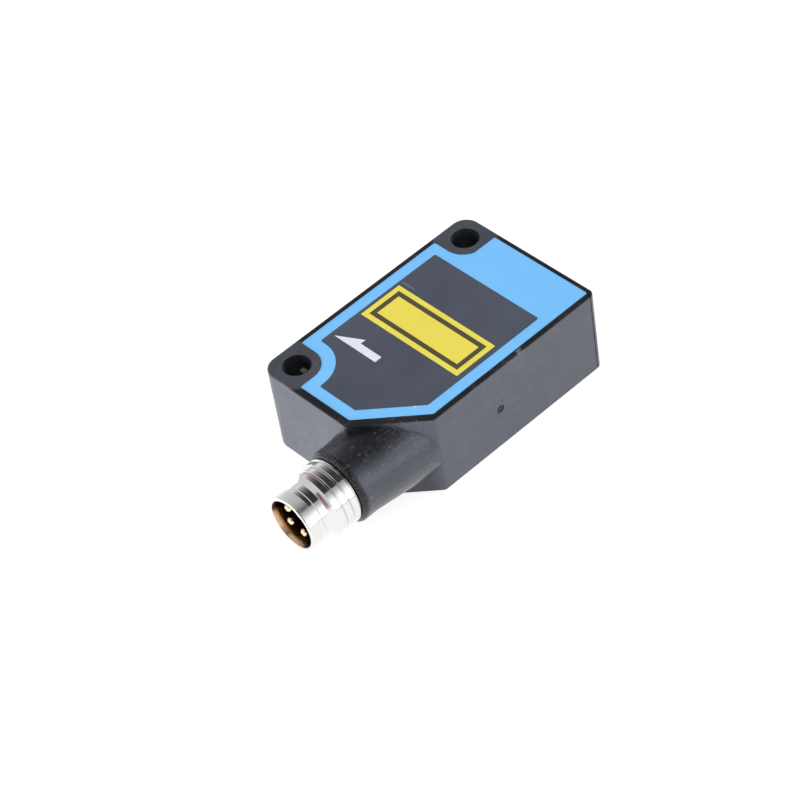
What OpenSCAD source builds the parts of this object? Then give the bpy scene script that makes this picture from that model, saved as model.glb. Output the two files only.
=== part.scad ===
// Miniature diffuse photoelectric sensor with a four-pin round connector.
//
// The origin is midway between the two mounting holes, on the base face.
// +X runs from the optical face to the rear face, +Y from the connector end
// to the cover end, and +Z from the base face to the label face.

/* [Body] */
// Depth, from the optical face to the rear face
body_depth = 20; // [18:0.5:24]
// Thickness, from the base face to the label face
body_thickness = 11; // [10.8:0.2:14]
// Thickness of the housing's walls
wall = 1; // [0.8:0.1:1.1]
// Radius of the two corners beside the mounting holes
front_corner_r = 1.9; // [1:0.1:2.2]
// Radius of the rear corner at the cover end
rear_corner_r = 0.8; // [0.6:0.1:1.4]
// Radius of the two edges of the cut corner
cut_edge_r = 0.6; // [0.5:0.1:1.5]
// Rounding round the label face and the base face
edge_r = 0.15; // [0.1:0.05:0.4]
// Reach of the cut corner along the connector end
cut_depth = 6.65; // [6:0.05:7.2]
// Reach of the cut corner along the rear face
cut_length = 6.7; // [6:0.1:7.4]
// Radius of the gate mark on the rear face
gate_mark_r = 0.45; // [0.3:0.05:0.8]

/* [Mounting holes] */
// Distance between the two holes
hole_spacing = 25.4; // [25:0.1:30]
// Radius of the holes
hole_r = 1.6; // [1.5:0.05:1.7]
// Distance from the hole axes to the optical face
hole_inset = 2.8; // [2.6:0.1:3]
// Distance from the lower hole's axis to the connector end
low_inset = 2.85; // [2.7:0.05:3]
// Distance from the upper hole's axis to the cover end
high_inset = 2.75; // [2.6:0.05:3]
// Material round each hole
column_wall = 1.05; // [0.9:0.05:1.1]

/* [Connector stub] */
// Distance from the stub's axis to the rear face
stub_inset = 5; // [4.8:0.1:5.4]
// Length of the stub outside the connector end
stub_length = 3.75; // [2.5:0.05:5]
// Radius at the stub's end
stub_end_r = 4.38; // [4.2:0.02:4.5]
// Length of the stub's straight end, in front of the taper
stub_straight = 2.25; // [1.5:0.05:3]
// Radius where the stub has run into the body
stub_root_r = 5.1; // [4.8:0.05:5.35]
// Rounding of the stub's end
stub_round = 0.5; // [0.1:0.05:0.6]

/* [Connector] */
// Length of the connector outside the connector end
connector_reach = 10.2; // [9.5:0.1:12]
// Radius of the thin collar at the tip
collar_r = 3.4; // [3.3:0.02:3.5]
// Radius of the socket inside the collar
socket_r = 2.94; // [2.9:0.02:3]
// Depth of the socket, from the rim to the insert
socket_depth = 4.6; // [4:0.1:5]
// Distance from the rim to the fine groove round the collar
groove_place = 1.8; // [1.4:0.1:2.2]
// Length of the plain collar, from the rim to the thread
collar_length = 2.8; // [2.4:0.1:3]
// Radius over the thread
thread_r = 3.95; // [3.9:0.01:4]
// Length of the lead-in cone in front of the thread
lead_in = 0.55; // [0.4:0.05:0.7]
// Length of the relief between the thread and the stub
relief_length = 0.1; // [0.05:0.05:0.6]
// Radius of the relief
relief_r = 3.3; // [3.2:0.05:3.35]
// Radius of the stem that the stub holds
stem_r = 3.4; // [3.3:0.05:3.45]
// Radius of the insert's rear part
insert_stem_r = 2.4; // [2.3:0.05:2.5]
// Radius of the contacts
contact_r = 0.5; // [0.45:0.05:0.5]
// Radius of the contacts' solder tails
tail_r = 0.35; // [0.3:0.05:0.4]
// Distance from the rim back to the contacts' tips
contact_recess = 0.55; // [0.3:0.05:1.2]

/* [End cover] */
// Thickness of the cover's plate
cover_t = 0.85; // [0.7:0.05:1]
// Depth of the plug behind the plate
plug_depth = 1.3; // [1.2:0.1:1.6]
// Distance from the hole axes to the side of the cover
cover_start = 2.4; // [2.3:0.05:2.5]
// Width and depth of the fine groove along the seam
seam = 0.12; // [0.06:0.02:0.2]
// Radius of the heads of the adjuster and the selector
knob_r = 1.45; // [1.3:0.05:1.5]
// Depth of the heads below the cover's outer face
knob_recess = 0.3; // [0.1:0.05:0.4]
// Width of the screwdriver slots
slot_w = 0.5; // [0.4:0.05:0.6]
// Depth of the screwdriver slots
slot_depth = 0.5; // [0.3:0.05:0.6]
// Distance from the indicator lens to the rear face
indicator_inset = 2.4; // [2.3:0.05:3]
// Width of the indicator lens
indicator_w = 2; // [1.8:0.1:2.2]
// Height of the indicator lens
indicator_h = 5.2; // [4.6:0.1:6]

/* [Label] */
// Thickness of the foil
foil_t = 0.15; // [0.1:0.05:0.2]
// Thickness of each printed layer
print_t = 0.02; // [0.02:0.01:0.04]
// Margin between the label and the optical face
label_front = 0.6; // [0.5:0.05:1]
// Margin between the label and the rear face
label_rear = 0.65; // [0.5:0.05:1]
// Margin between the label and the connector end
label_low = 0.9; // [0.6:0.05:1.2]
// Margin between the label and the cover end
label_high = 0.55; // [0.5:0.05:1]
// Margin between the label and the cut corner
label_cut = 0.8; // [0.6:0.05:1]
// Radius of the label's notch round the lower hole
low_notch_r = 2.65; // [2.4:0.05:2.8]
// Radius of the label's notch round the upper hole
high_notch_r = 2.6; // [2.4:0.05:2.8]
// Rounding of the label's corners
label_round = 0.25; // [0.1:0.05:0.4]
// Width of the coloured band round the dark field
band_w = 1.4; // [1.2:0.05:1.6]
// Height of the coloured field at the cover end
top_band = 6.1; // [5.6:0.1:6.6]
// Width of the yellow field
yellow_w = 14.85; // [14:0.05:15]
// Height of the yellow field
yellow_h = 5.75; // [5.4:0.05:6]
// Distance from the yellow field to the dark field's upper edge
yellow_drop = 5.95; // [5.6:0.05:6.2]
// Distance from the yellow field to the dark field's front edge
yellow_inset = 0.45; // [0.2:0.05:0.6]
// Margin round the yellow field's frame line
frame_margin = 0.65; // [0.5:0.05:0.8]
// Width of the yellow field's frame line
frame_w = 0.58; // [0.4:0.02:0.7]
// Distance from the arrow's lower side to the yellow field
arrow_drop = 4.1; // [3:0.1:5]
// Length of the direction arrow
arrow_length = 6.4; // [5:0.1:7]
// Width of the arrow's shaft
arrow_shaft = 0.95; // [0.7:0.05:1.2]
// Width of the arrow's half head
arrow_head = 1.65; // [1.3:0.05:2]
// Length of the arrow's half head
arrow_head_length = 3.15; // [2.5:0.05:3.6]

/* [Optics] */
// Distance from the front window to the material round the holes
window_inset = 0.65; // [0.4:0.05:1]
// Margin between the window and the label face or the base face
window_margin = 0.9; // [0.8:0.05:1.1]
// Thickness of the window
window_t = 1; // [0.8:0.05:1.1]
// Thickness of the window's seal
seal_t = 0.3; // [0.2:0.05:0.4]
// Width of the ledge that carries the window
ledge_w = 0.6; // [0.5:0.05:0.7]
// Thickness of the ledge that carries the window
ledge_t = 0.7; // [0.5:0.05:0.8]
// Depth of the optics holder
holder_depth = 7.75; // [7.5:0.05:8]
// Place of the emitter's axis along the body
emitter_y = -5; // [-5.2:0.1:-4.9]
// Outer radius of the laser sleeve
sleeve_r = 3.1; // [3:0.05:3.15]
// Place of the receiver's axis along the body
receiver_y = 3.75; // [3.7:0.05:3.9]
// Radius of the receiver lens
receiver_r = 3.9; // [3.6:0.05:3.95]
// Distance from the lenses' seats to the holder's front
lens_depth = 2.15; // [2:0.05:2.5]
// Length of the laser sleeve
sleeve_length = 6; // [5.5:0.1:6.5]
// Radius of the emitter lens
emitter_r = 2.28; // [2:0.02:2.4]
// Radius of the laser diode's can
can_r = 1.75; // [1.6:0.05:1.85]
// Width of the shield over the receiver diode
shield_w = 4.3; // [3.8:0.1:4.6]

/* [Electronics] */
// Thickness of the main board
board_t = 0.8; // [0.6:0.1:1]
// Thickness of the receiver board
receiver_board_t = 0.6; // [0.5:0.1:0.8]
// Side of the trimmer's and the switch's square bodies
trimmer_w = 4.4; // [4.2:0.1:4.6]
// Depth of the trimmer's and the switch's bodies
trimmer_depth = 2.5; // [2.2:0.1:2.8]
// Radius of the turning heads' shafts
shaft_r = 0.8; // [0.6:0.05:1]
// Side of the controller chip
controller_w = 4; // [3:0.1:4.2]
// Side of the driver chip
driver_w = 3; // [2.5:0.1:3.2]
// Height of both chips
chip_h = 0.9; // [0.7:0.05:1.1]
// Width of the voltage regulator
regulator_w = 4.4; // [3.5:0.1:4.6]
// Width of the output transistors
transistor_w = 2.9; // [2:0.1:3]
// Length of the capacitors
capacitor_length = 2; // [1.6:0.1:2.2]
// Length of the resistors
resistor_length = 1.6; // [1:0.1:1.8]
// Width of the indicator lamps
led_w = 1.4; // [1:0.1:1.6]
// Height of the indicator lamps
led_h = 1; // [0.6:0.1:1.2]

/* [Hidden] */

$fn = 64;

// Clearances: between parts that are assembled, and round a turning part
fit_gap = 0.05;
run_gap = 0.05;
// Clearance between a moulded part and the metal in it
mould_gap = 0.02;
// Overlap that joins the solids of one part or clears a cut
lap = 0.5;
// Longer than any part, for cuts that run off the body
far = 60;

// Faces of the body
front_x = -hole_inset;
rear_x = front_x + body_depth;
low_y = -hole_spacing / 2 - low_inset;
high_y = hole_spacing / 2 + high_inset;
mid_z = body_thickness / 2;
stub_x = rear_x - stub_inset;
cut_slope = norm([cut_depth, cut_length]);
column_r = hole_r + column_wall;

// Depths behind the optical face
window_seat = window_t + seal_t;
ledge_back = window_seat + ledge_t;
holder_front = ledge_back + fit_gap;
holder_back = holder_front + holder_depth;
board_start = holder_back + receiver_board_t;
holder_half = mid_z - wall - fit_gap;
holder_margin = 1;
lens_seat = holder_front + lens_depth;
sleeve_front = holder_front + 0.75;
sleeve_bore_r = sleeve_r - 0.25;
flange_seat = sleeve_front + sleeve_length - 1.8;
chamber_back = holder_back - 1.8;

// Window: its width between the holes, and the holder's half length behind it
window_w = hole_spacing - 2 * (column_r + window_inset);
holder_end = window_w / 2 - 0.45;

// Depths behind the cover's outer face
cover_depth = cover_t + plug_depth;
collar_top = cover_depth + 2 * run_gap;
collar_t = 0.35;
trimmer_top = collar_top + collar_t + 3 * run_gap;
board_top_edge = trimmer_top + trimmer_depth;

// Main board: its faces and edges
board_low_z = mid_z - board_t / 2;
board_high_z = mid_z + board_t / 2;
board_x = front_x + board_start;
board_rear_x = rear_x - wall - 0.3;
board_high_y = high_y - board_top_edge;
board_step = 1.2;
lead_reach = 1.5;
board_mid_x = (board_x + board_rear_x) / 2;
front_column_x = board_x + 2;
rear_column_x = board_rear_x - 2;
stem_inside = 1.4;
tail_end = stem_inside + 2.2;
board_tongue_y = low_y + stem_inside + 0.4;
tongue_half = stem_r - 0.4;

// Contacts: offsets from the connector's axis, along X and Z
contact_places = [[-1.23, 1.03], [-1.23, -1.03], [0.8, -1.39], [0.8, 1.39]];

// Places along the cover: the adjuster, the selector and the indicator lens
adjuster_x = column_r + fit_gap + trimmer_w / 2 + 0.3;
selector_x = adjuster_x + trimmer_w + 0.1;
indicator_x = rear_x - indicator_inset;

// Colours
black_plastic = [0.13, 0.13, 0.15];
dark_grey = [0.22, 0.23, 0.27];
label_blue = [0.35, 0.68, 0.95];
nickel = [0.82, 0.82, 0.8];
gold = [0.86, 0.68, 0.3];
board_green = [0.08, 0.35, 0.2];
rubber_black = [0.06, 0.06, 0.06];

function unit(v) = v / norm(v);

// Points of the arc of radius r that rounds corner p, met from a and left to b
function corner_arc(a, p, b, r, steps = 10) =
    let (
        u = unit(a - p),
        v = unit(b - p),
        half = acos(u * v) / 2,
        centre = p + unit(u + v) * r / sin(half),
        from = p + u * r / tan(half) - centre,
        start = atan2(from[1], from[0])
    )
    [for (i = [0:steps])
        let (turn = start + (180 - 2 * half) * i / steps)
        centre + r * [cos(turn), sin(turn)]];

// A polygon's points with each corner rounded by its own radius
function rounded(points, radii) =
    let (n = len(points))
    [for (i = [0:n - 1])
        each corner_arc(points[(i + n - 1) % n], points[i], points[(i + 1) % n], radii[i])];

// Corners of the body's outline with a margin along each side
function body_corners(front, low, cut, rear, high) = [
    [front_x + front, low_y + low],
    [rear_x - cut_depth - (cut * cut_slope - low * cut_depth) / cut_length, low_y + low],
    [rear_x - rear, low_y + cut_length + (cut * cut_slope - rear * cut_length) / cut_depth],
    [rear_x - rear, high_y - high],
    [front_x + front, high_y - high]
];

// Body outline, smaller by inset all round
module body_outline(inset) {
    polygon(rounded(
        body_corners(inset, inset, inset, inset, inset),
        [front_corner_r - inset, cut_edge_r, cut_edge_r, rear_corner_r - inset, front_corner_r - inset]
    ));
}

// The whole body as one block, with rounded edges round its two large faces
module body_block() {
    hull()
        for (turn = [0:22.5:90]) {
            drop = edge_r * (1 - sin(turn));
            translate([0, 0, drop])
                linear_extrude(body_thickness - 2 * drop)
                    body_outline(edge_r * (1 - cos(turn)));
        }
}

// Field round a mounting hole and out to its corner; side is -1 or 1
module corner_field(side, r) {
    translate([0, side * hole_spacing / 2])
        mirror([0, side > 0 ? 1 : 0]) {
            circle(r = r);
            translate([-far, -far])
                square([far, far + r]);
            translate([-far, -far])
                square([far + r, far]);
        }
}

module rounded_rect(w, h, r) {
    square([w - 2 * r, h], center = true);
    square([w, h - 2 * r], center = true);
    for (x = [-1, 1], y = [-1, 1])
        translate([x * (w / 2 - r), y * (h / 2 - r)])
            circle(r = r);
}

// Local Z is the depth behind the optical face, local X runs along the body
module behind_front(y = 0) {
    translate([front_x, y, mid_z])
        rotate([90, 0, 90])
            children();
}

// Local Z is the depth behind the cover's outer face, local Y points up
module behind_cover(x = 0) {
    translate([x, high_y, mid_z])
        rotate([90, 0, 0])
            children();
}

// Local Z runs along the connector, outwards from the connector end
module along_connector() {
    translate([stub_x, low_y, mid_z])
        rotate([90, 0, 0])
            children();
}

// Housing

// Tapered stub with a straight end and a rounded edge; the rear face trims it
module stub() {
    root = -cut_length;
    intersection() {
        along_connector()
            rotate_extrude()
                polygon(concat(
                    [[0, root], [stub_root_r, root], [stub_end_r, stub_length - stub_straight]],
                    [for (turn = [0:15:90])
                        [stub_end_r - stub_round * (1 - cos(turn)),
                         stub_length - stub_round * (1 - sin(turn))]],
                    [[0, stub_length]]
                ));
        translate([rear_x - far, -far, 0])
            cube([far, 2 * far, body_thickness]);
    }
}

// Room inside the housing: open to the cover end, solid round the two holes
module cavity() {
    translate([0, 0, wall])
        linear_extrude(body_thickness - 2 * wall)
            difference() {
                polygon(body_corners(ledge_back, wall, wall, wall, -lap));
                corner_field(-1, column_r);
                corner_field(1, column_r);
            }
}

// Outline of the window's recess, smaller by inset all round
module window_outline(inset) {
    rounded_rect(window_w - 2 * inset, body_thickness - 2 * (window_margin + inset), 0.8);
}

// The stem's barbs and the bore that grips them
module stem(extra) {
    cylinder(h = stub_length + stem_inside, r = stem_r + extra);
    for (z = [1.4:0.8:3])
        translate([0, 0, z])
            cylinder(h = 0.4, r1 = stem_r + 0.2 + extra, r2 = stem_r + extra);
}

// Two rails behind the main board's long edge
module board_rails() {
    rail_t = 0.7;
    reach = 0.9;
    for (z = [board_low_z - fit_gap - rail_t, board_high_z + fit_gap])
        translate([rear_x - wall - reach, -hole_spacing / 4, z])
            cube([reach + wall / 2, hole_spacing / 2, rail_t]);
}

module housing() {
    color(black_plastic) {
        difference() {
            union() {
                body_block();
                stub();
            }
            cavity();
            // Mounting holes
            for (side = [-1, 1])
                translate([0, side * hole_spacing / 2, -lap])
                    cylinder(h = body_thickness + 2 * lap, r = hole_r);
            // Seat of the front window, and the opening inside its ledge
            behind_front()
                translate([0, 0, -lap])
                    linear_extrude(window_seat + lap)
                        window_outline(0);
            behind_front()
                linear_extrude(ledge_back + lap)
                    window_outline(ledge_w);
            // Seat of the end cover
            translate([cover_start, high_y - cover_t, -lap])
                cube([far, far, body_thickness + 2 * lap]);
            // Bore for the connector's stem, running on as a tunnel to the cavity
            along_connector()
                translate([0, 0, -stem_inside])
                    stem(mould_gap);
            along_connector()
                translate([0, 0, -cut_length - lap])
                    cylinder(h = cut_length + lap, r = stem_r + mould_gap);
            label_recess();
            // Gate mark
            translate([rear_x - 0.1, 0.2, mid_z - 0.2])
                rotate([0, 90, 0])
                    difference() {
                        cylinder(h = lap, r = gate_mark_r);
                        cylinder(h = lap, r = gate_mark_r / 2);
                    }
        }
        board_rails();
    }
}

// End cover

module plug_block(inset, depth, height) {
    x = column_r + fit_gap + inset;
    translate([x, high_y - depth, wall + fit_gap + inset])
        cube([rear_x - wall - fit_gap - inset - x, height, body_thickness - 2 * (wall + fit_gap + inset)]);
}

module end_cover() {
    color(black_plastic)
        difference() {
            union() {
                intersection() {
                    body_block();
                    translate([cover_start + mould_gap, high_y - cover_t + seam, -lap])
                        cube([far, far, body_thickness + 2 * lap]);
                }
                translate([cover_start + mould_gap, high_y - cover_t, seam])
                    cube([rear_x - seam - cover_start - mould_gap, cover_t / 2, body_thickness - 2 * seam]);
                plug_block(0, cover_depth, plug_depth + cover_t / 2);
            }
            for (x = [adjuster_x, selector_x])
                behind_cover(x) {
                    translate([0, 0, -lap])
                        cylinder(h = cover_depth + 2 * lap, r = knob_r + run_gap);
                    translate([0, 0, -0.01])
                        cylinder(h = knob_recess, r1 = knob_r + knob_recess, r2 = knob_r + run_gap);
                }
            behind_cover(indicator_x)
                translate([0, 0, -lap])
                    linear_extrude(cover_depth + 2 * lap)
                        rounded_rect(indicator_w + 2 * fit_gap, indicator_h + 2 * fit_gap, 0.6 + fit_gap);
            difference() {
                plug_block(-1, cover_t + 0.9, 0.5);
                plug_block(0.3, cover_t + 0.9, 0.5);
            }
            label_recess();
        }
}

module cover_seal() {
    color(rubber_black)
        difference() {
            plug_block(-fit_gap + mould_gap, cover_t + 0.85, 0.4);
            plug_block(0.3 - mould_gap, cover_t + 1, 0.7);
        }
}

// Label

module label_outline() {
    offset(r = label_round, $fn = 32)
        offset(delta = -label_round)
            difference() {
                polygon(body_corners(label_front, label_low, label_cut, label_rear, label_high));
                corner_field(-1, low_notch_r);
                intersection() {
                    corner_field(1, high_notch_r);
                    translate([-far, 0])
                        square([far + cover_start, far]);
                }
            }
}

module dark_outline() {
    offset(r = label_round, $fn = 32)
        offset(delta = -label_round)
            difference() {
                polygon(body_corners(
                    label_front + band_w,
                    label_low + band_w,
                    label_cut + band_w,
                    label_rear + band_w,
                    label_high + top_band
                ));
                corner_field(-1, low_notch_r + band_w + 0.15);
            }
}

label_stack = foil_t + 3 * print_t;

module label_recess() {
    translate([0, 0, body_thickness - label_stack])
        linear_extrude(label_stack + lap)
            offset(delta = mould_gap)
                label_outline();
}

// Printed layer: level 0 lies on the foil, and each level is one layer higher
module print_layer(level) {
    translate([0, 0, body_thickness - (3 - level) * print_t])
        linear_extrude(print_t)
            children();
}

module label_foil() {
    color(label_blue)
        translate([0, 0, body_thickness - label_stack])
            linear_extrude(foil_t)
                label_outline();
}

module label_dark_field() {
    color(dark_grey)
        print_layer(0)
            dark_outline();
}

yellow_x = front_x + label_front + band_w + yellow_inset;
yellow_y = high_y - label_high - top_band - yellow_drop - yellow_h;

module label_yellow_field() {
    color([0.93, 0.86, 0.3])
        print_layer(1)
            translate([yellow_x, yellow_y])
                square([yellow_w, yellow_h]);
}

module label_frame_line() {
    inner = frame_margin + frame_w;
    color([0.25, 0.24, 0.18])
        print_layer(2)
            difference() {
                translate([yellow_x + frame_margin, yellow_y + frame_margin])
                    square([yellow_w - 2 * frame_margin, yellow_h - 2 * frame_margin]);
                translate([yellow_x + inner, yellow_y + inner])
                    square([yellow_w - 2 * inner, yellow_h - 2 * inner]);
            }
}

// Half arrow that points to the optical face
module label_arrow() {
    color([0.9, 0.91, 0.96])
        print_layer(1)
            translate([yellow_x + 0.15, yellow_y - arrow_drop])
                polygon([
                    [0, 0],
                    [arrow_length, 0],
                    [arrow_length, arrow_shaft],
                    [arrow_head_length, arrow_shaft],
                    [arrow_head_length, arrow_head]
                ]);
}

// Optics

module front_window() {
    color([0.5, 0.12, 0.12, 0.5])
        behind_front()
            linear_extrude(window_t)
                window_outline(fit_gap);
}

module window_seal() {
    color(rubber_black)
        behind_front()
            translate([0, 0, window_t])
                linear_extrude(seal_t)
                    difference() {
                        window_outline(fit_gap);
                        window_outline(ledge_w);
                    }
}

module optics_holder() {
    color([0.1, 0.1, 0.11])
        difference() {
            behind_front()
                translate([-holder_end, -holder_half, holder_front])
                    cube([2 * holder_end, 2 * holder_half, holder_depth]);
            behind_front(receiver_y) {
                translate([0, 0, holder_front - lap])
                    cylinder(h = lens_seat - holder_front + lap, r = receiver_r + fit_gap);
                translate([0, 0, lens_seat - 0.01])
                    cylinder(h = chamber_back - lens_seat + 0.02, r1 = receiver_r - 0.5, r2 = 1.5);
                translate([0, 0, chamber_back + far / 2])
                    cube([shield_w + 0.2, 0.9 * shield_w + 0.2, far], center = true);
            }
            behind_front(emitter_y) {
                cylinder(h = far, r = sleeve_r - 0.5);
                translate([0, 0, sleeve_front - fit_gap])
                    cylinder(h = far, r = sleeve_r + fit_gap);
            }
        }
}

// Lens with a flat back at local Z 0 and a domed front
module domed_lens(r, edge_t, dome) {
    ball_r = (r * r + dome * dome) / (2 * dome);
    mirror([0, 0, 1])
        intersection() {
            cylinder(h = edge_t + dome, r = r);
            translate([0, 0, edge_t + dome - ball_r])
                sphere(r = ball_r, $fn = 128);
        }
}

module receiver_lens() {
    color([0.85, 0.9, 0.95, 0.5])
        behind_front(receiver_y)
            translate([0, 0, lens_seat])
                domed_lens(receiver_r, 0.8, 1);
}

// Depth of the emitter lens's seat in the sleeve
emitter_depth = 1.8;

module laser_sleeve() {
    color([0.78, 0.62, 0.3])
        behind_front(emitter_y)
            translate([0, 0, sleeve_front])
                difference() {
                    cylinder(h = sleeve_length, r = sleeve_r);
                    translate([0, 0, -lap])
                        cylinder(h = sleeve_length + 2 * lap, r = can_r + 0.15);
                    translate([0, 0, -lap])
                        cylinder(h = emitter_depth + lap, r = emitter_r + mould_gap);
                    translate([0, 0, flange_seat - sleeve_front])
                        cylinder(h = sleeve_length, r = sleeve_bore_r);
                }
}

module emitter_lens() {
    color([0.85, 0.9, 0.95, 0.5])
        behind_front(emitter_y)
            translate([0, 0, sleeve_front + emitter_depth])
                domed_lens(emitter_r, 1, 0.6);
}

module laser_diode() {
    can_length = 1.6;
    lead_r = 0.2;
    lead_z = board_t / 2 + lead_r + mould_gap;
    color(gold)
        behind_front(emitter_y)
            translate([0, 0, flange_seat]) {
                cylinder(h = 1.2, r = sleeve_bore_r - fit_gap);
                translate([0, 0, -can_length])
                    cylinder(h = can_length + lap, r = can_r);
                for (place = [[-1, lead_z], [1, lead_z], [0, -lead_z]])
                    translate([place[0], place[1], lap])
                        cylinder(h = board_start + lead_reach - flange_seat - lap, r = lead_r, $fn = 24);
            }
}

shield_depth = 1.7;
shield_t = 0.2;

module receiver_shield() {
    color(nickel)
        behind_front(receiver_y)
            difference() {
                translate([0, 0, holder_back - shield_depth / 2])
                    cube([shield_w, 0.9 * shield_w, shield_depth], center = true);
                translate([0, 0, holder_back - shield_depth / 2 + shield_t])
                    cube([shield_w - 2 * shield_t, 0.9 * shield_w - 2 * shield_t, shield_depth], center = true);
                cylinder(h = far, r = shield_w / 4);
            }
}

module receiver_diode() {
    color(dark_grey)
        behind_front(receiver_y) {
            translate([0, 0, holder_back - 0.4])
                cube([0.75 * shield_w, 0.65 * shield_w, 0.8], center = true);
            translate([0, 0, holder_back - 1.1])
                cylinder(h = 0.6, r = 0.8);
        }
}

module receiver_board() {
    color(board_green)
        behind_front() {
            low = receiver_y - receiver_r - 0.3;
            edge = holder_half - 0.3;
            translate([low, -edge, holder_back])
                cube([holder_end - holder_margin - low, 2 * edge, receiver_board_t]);
        }
}

// Electronics

module main_board() {
    inner = body_corners(0, 0, wall + 0.35, rear_x - board_rear_x, 0);
    color(board_green)
        translate([0, 0, board_low_z])
            linear_extrude(board_t) {
                polygon([
                    [board_x, low_y + cut_length - 1],
                    [stub_x, low_y + cut_length - 1],
                    [inner[2][0], inner[2][1]],
                    [board_rear_x, board_high_y],
                    [column_r + 0.4, board_high_y],
                    [column_r + 0.4, board_high_y - board_step],
                    [board_x, board_high_y - board_step]
                ]);
                translate([stub_x - tongue_half, board_tongue_y])
                    square([2 * tongue_half, inner[2][1] - board_tongue_y]);
            }
}

// Places a part on the board: above it if side is 1, below it if side is -1
module on_board(x, y, side) {
    translate([x, y, mid_z])
        mirror([0, 0, side > 0 ? 0 : 1])
            translate([0, 0, board_t / 2])
                children();
}

// Square chip with a dimple that marks its first pin
module chip(w) {
    dimple = w / 2 - 0.6;
    difference() {
        translate([-w / 2, -w / 2, 0])
            cube([w, w, chip_h]);
        translate([-dimple, dimple, chip_h - 0.1])
            cylinder(h = lap, r = 0.25);
    }
}

// Rows of parts along the board: behind the emitter, in the middle, and below the cover
emitter_row = emitter_y;
middle_row = 1.6;
cover_row = board_high_y - 4.2;
row_pitch = 1.5;
leg_w = 0.4;

module controller_chip() {
    color(dark_grey)
        on_board(board_mid_x, middle_row, 1)
            chip(controller_w);
}

module driver_chip() {
    color(dark_grey)
        on_board(board_x + lead_reach + 0.9 + driver_w / 2, emitter_row, 1)
            chip(driver_w);
}

// Small outline package of width w: legs on one long side and a tab on the other
module small_package(w, legs) {
    d = w * 0.52;
    translate([-w / 2, -d / 2, 0])
        cube([w, d, 1.2 * chip_h]);
    for (i = [0:legs - 1]) {
        x = (i - (legs - 1) / 2) * w / legs;
        translate([x - leg_w / 2, -d / 2 - leg_w, 0])
            cube([leg_w, leg_w + d / 2, leg_w / 2]);
    }
    translate([-w / 5, 0, 0])
        cube([w / 2.5, d / 2 + leg_w, leg_w / 2]);
}

module voltage_regulator() {
    color(dark_grey)
        on_board(board_x + lead_reach + 1 + regulator_w / 4, emitter_row, -1)
            rotate([0, 0, 90])
                small_package(regulator_w, 3);
}

module output_transistors() {
    color(dark_grey)
        for (y = [middle_row, cover_row])
            on_board(front_column_x, y, -1)
                small_package(transistor_w, 2);
}

// Chip part of length w along X, lying on the board
module two_pole_part(w, h) {
    translate([-w / 2, -w / 4, 0])
        cube([w, w / 2, h]);
}

module capacitors() {
    color([0.72, 0.6, 0.45])
        for (side = [-1, 1], step = [0:2])
            on_board(
                side > 0 ? front_column_x : rear_column_x,
                side > 0 ? cover_row + (step - 1) * row_pitch : middle_row + (step - 1) * row_pitch,
                side
            )
                two_pole_part(capacitor_length, 1);
}

module resistors() {
    color([0.15, 0.15, 0.16]) {
        for (step = [-1:1])
            on_board(rear_column_x, cover_row + step * row_pitch, 1)
                two_pole_part(resistor_length, 0.5);
        for (x = [front_column_x, rear_column_x])
            on_board(x, (emitter_row + middle_row) / 2 + 0.1, 1)
                two_pole_part(resistor_length, 0.5);
    }
}

// Solder between the contacts' tails and the pads on both faces of the board
module solder_joints() {
    color([0.75, 0.76, 0.78])
        for (place = contact_places)
            difference() {
                translate([
                    stub_x + place[0] - tail_r - 0.1,
                    board_tongue_y + 0.1,
                    place[1] > 0 ? board_high_z : mid_z + place[1]
                ])
                    cube([2 * tail_r + 0.2, tail_end - stem_inside - 0.6, abs(place[1]) - board_t / 2]);
                along_connector()
                    translate([place[0], place[1], -tail_end - lap])
                        cylinder(h = tail_end, r = tail_r);
            }
}

// Fixed body behind a turning head: bore for its shaft, and terminals on the board
shaft_reach = 1.8;

module turning_base(x) {
    behind_cover(x)
        difference() {
            translate([-trimmer_w / 2, -trimmer_w / 2, trimmer_top])
                cube([trimmer_w, trimmer_w, trimmer_depth]);
            translate([0, 0, trimmer_top - lap])
                cylinder(h = lap + shaft_reach, r = shaft_r + run_gap);
            translate([0, 0, trimmer_top - 0.01])
                difference() {
                    cylinder(h = 0.2, r = far);
                    cylinder(h = 0.2, r = trimmer_w / 2 - 0.15);
                }
        }
    for (step = [-1:1])
        translate([x + step * 1.4 - 0.25, board_high_y - 0.9, board_high_z])
            cube([0.5, 1.4, 0.25]);
}

module sensitivity_trimmer() {
    color([0.15, 0.25, 0.55])
        turning_base(adjuster_x);
}

module mode_switch() {
    color([0.2, 0.2, 0.22])
        turning_base(selector_x);
}

// Turning head: grooved for its ring, held by a collar, on a shaft
ring_r = 0.2;
ring_groove = 1.2;

module turning_head(x) {
    shaft_end = trimmer_top + shaft_reach - 3 * run_gap;
    groove_r = knob_r - 2 * ring_r;
    slot_half = knob_r * 0.72;
    behind_cover(x)
        difference() {
            rotate_extrude()
                polygon([
                    [0, knob_recess],
                    [knob_r, knob_recess],
                    [knob_r, ring_groove - ring_r - run_gap],
                    [groove_r, ring_groove - ring_r - run_gap],
                    [groove_r, ring_groove + ring_r + run_gap],
                    [knob_r, ring_groove + ring_r + run_gap],
                    [knob_r, collar_top],
                    [knob_r + 0.4, collar_top],
                    [knob_r + 0.4, collar_top + collar_t],
                    [shaft_r, collar_top + collar_t],
                    [shaft_r, shaft_end],
                    [0, shaft_end]
                ]);
            // Screwdriver slot, and the pointer at one end of it
            translate([-slot_w / 2, -slot_half, knob_recess - lap])
                cube([slot_w, 2 * slot_half, lap + slot_depth]);
            translate([0, slot_half, knob_recess - lap])
                rotate([0, 0, 30])
                    cylinder(h = lap + slot_depth, r = slot_w, $fn = 3);
        }
}

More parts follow.
